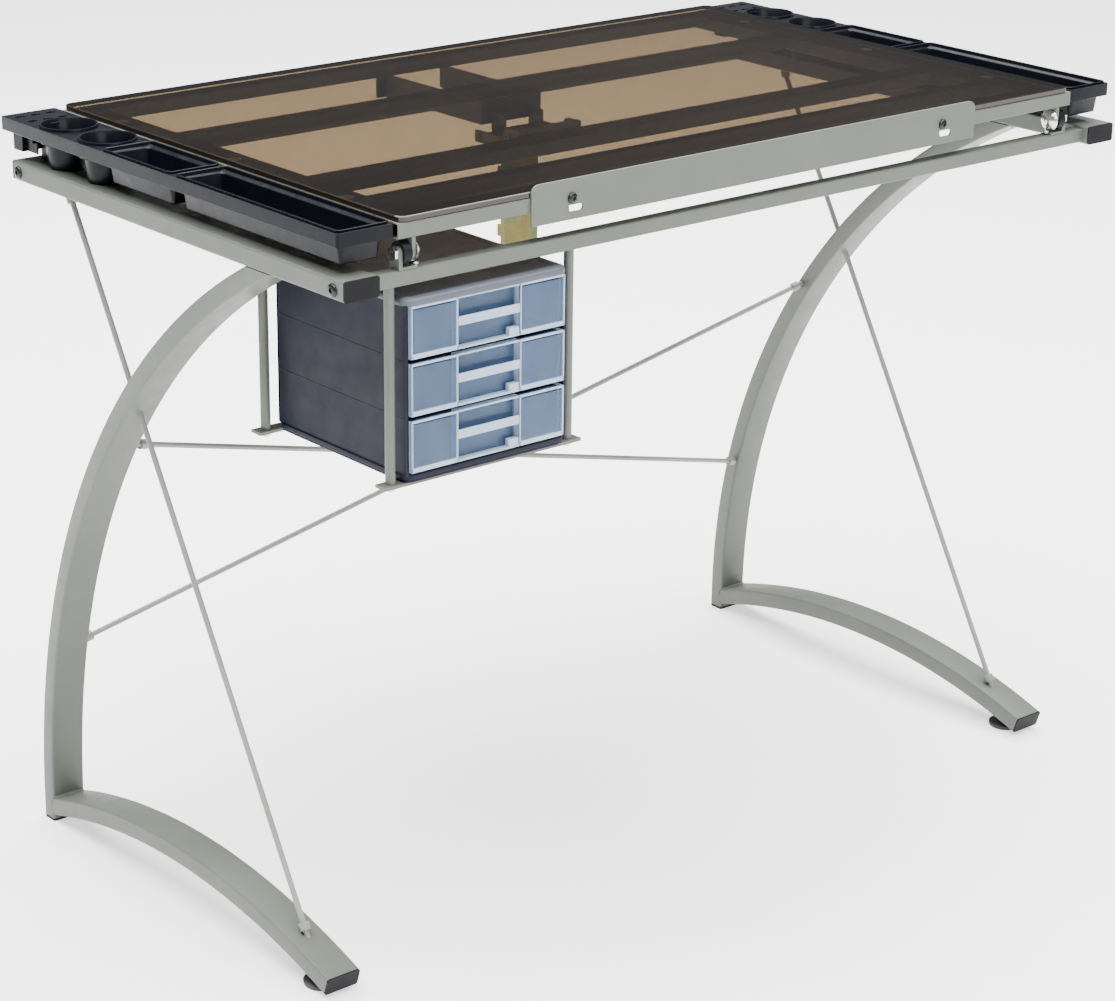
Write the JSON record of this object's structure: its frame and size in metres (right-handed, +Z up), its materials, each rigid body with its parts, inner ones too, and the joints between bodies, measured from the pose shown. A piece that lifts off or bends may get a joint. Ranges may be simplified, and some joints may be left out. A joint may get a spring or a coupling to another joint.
{
  "type": "drafting table",
  "caption": "Glass-topped drafting table with a tilting top on a tubular base, pencil ledge, lift-off side trays and a hanging unit of clear drawers.",
  "frame": {"origin": "on the floor, under the middle of the overall box", "axes": "+X along the table's length to the right as seen from the front, +Y to the rear, +Z up"},
  "size_m": [1.058, 0.602, 0.806],
  "materials": {
    "frame_paint": "satin powder coat, silver grey",
    "rod_steel": "satin, light grey",
    "black_screw": "black oxide, semi-gloss",
    "black_plastic": "moulded, matt",
    "zinc_plate": "iridescent yellow zinc plate",
    "bright_steel": "bright plated",
    "tray_plastic": "moulded, soft gloss, navy black",
    "case_plastic": "moulded, satin, slate grey",
    "clear_plastic": "translucent, glossy, faintly blue",
    "table_glass": "clear tempered glass, ground edges",
    "clear_pad": "clear soft pad"
  },
  "bodies": {
    "base": {"side_tube_left": "frame_paint", "side_tube_right": "frame_paint", "leg_left": "frame_paint", "leg_right": "frame_paint", "foot_left": "frame_paint", "foot_right": "frame_paint", "front_rail": "frame_paint", "drawer_rail": "frame_paint", "centre_rail": "frame_paint", "rear_rail": "frame_paint", "frame_screws": "black_screw", "rail_end_plugs": "black_plastic", "side_tube_caps": "black_plastic", "foot_tip_caps": "black_plastic", "leg_soles": "black_plastic", "side_rod_left": "rod_steel", "side_rod_right": "rod_steel", "cross_rod_front": "rod_steel", "cross_rod_rear": "rod_steel", "rod_collars": "rod_steel", "hinge_spacers": "black_plastic", "hinge_brackets": "frame_paint", "hinge_bolts": "bright_steel", "hinge_nuts": "bright_steel", "ratchet_housing": "zinc_plate", "catch_bar": "zinc_plate", "pawl_pin": "zinc_plate", "housing_screws": "black_screw", "case_body": "case_plastic", "case_lid": "case_plastic", "case_base": "case_plastic", "hanger_posts": "frame_paint", "post_nuts": "bright_steel", "carrier_bar_front": "frame_paint", "carrier_bar_rear": "frame_paint"},
    "tilting_top": {"top_side_rail_left": "frame_paint", "top_side_rail_right": "frame_paint", "top_front_rail": "frame_paint", "top_rear_rail": "frame_paint", "top_cross_rail_1": "frame_paint", "top_cross_rail_2": "frame_paint", "top_cross_rail_3": "frame_paint", "hinge_ears": "frame_paint", "glass_top": "table_glass", "glass_pads": "clear_pad", "ledge_screws": "black_screw", "lift_bracket": "frame_paint", "stay_pin": "zinc_plate"},
    "stay": {"ratchet_stay": "zinc_plate"},
    "ledge": {"pencil_ledge": "frame_paint"},
    "pawl": {"release_pawl": "zinc_plate"},
    "left_tray": {"tray_bins_left": "tray_plastic", "tray_rack_left": "tray_plastic"},
    "right_tray": {"tray_bins_right": "tray_plastic", "tray_rack_right": "tray_plastic"},
    "top_drawer": {"drawer_1": "clear_plastic"},
    "middle_drawer": {"drawer_2": "clear_plastic"},
    "low_drawer": {"drawer_3": "clear_plastic"},
    "left_leveller": {"leveller_left": "black_plastic"},
    "right_leveller": {"leveller_right": "black_plastic"}
  },
  "joints": [
    {"name": "top_tilt", "type": "hinge", "parent": "base", "child": "tilting_top", "pos_m": [0, -0.284, 0.764], "axis": [1, 0, 0], "range_deg": [0, 35]},
    {"name": "stay_swing", "type": "hinge", "parent": "tilting_top", "child": "stay", "pos_m": [0, 0.097, 0.745], "axis": [1, 0, 0], "range_deg": [-21, 0]},
    {"name": "ledge_slide", "type": "slide", "parent": "tilting_top", "child": "ledge", "axis": [0, 0, 1], "range_m": [0, 0.01]},
    {"name": "pawl_turn", "type": "hinge", "parent": "base", "child": "pawl", "pos_m": [0, 0.058, 0.75], "axis": [1, 0, 0], "range_deg": [0, 25], "stiffness_Nm_per_rad": 0.05, "springref_deg": -22.92},
    {"name": "left_tray_lift", "type": "slide", "parent": "base", "child": "left_tray", "axis": [0, 0, 1], "range_m": [0, 0.06]},
    {"name": "right_tray_lift", "type": "slide", "parent": "base", "child": "right_tray", "axis": [0, 0, 1], "range_m": [0, 0.06]},
    {"name": "top_drawer_slide", "type": "slide", "parent": "base", "child": "top_drawer", "axis": [0, -1, 0], "range_m": [0, 0.16]},
    {"name": "middle_drawer_slide", "type": "slide", "parent": "base", "child": "middle_drawer", "axis": [0, -1, 0], "range_m": [0, 0.16]},
    {"name": "low_drawer_slide", "type": "slide", "parent": "base", "child": "low_drawer", "axis": [0, -1, 0], "range_m": [0, 0.16]},
    {"name": "left_leveller_turn", "type": "hinge", "parent": "base", "child": "left_leveller", "pos_m": [-0.506, -0.221, 0.01], "axis": [0, 0, 1], "continuous": true},
    {"name": "right_leveller_turn", "type": "hinge", "parent": "base", "child": "right_leveller", "pos_m": [0.506, -0.221, 0.01], "axis": [0, 0, 1], "continuous": true}
  ],
  "couplings": [
    {"joint": "stay_swing", "follows": "top_tilt", "ratio": -0.6}
  ]
}
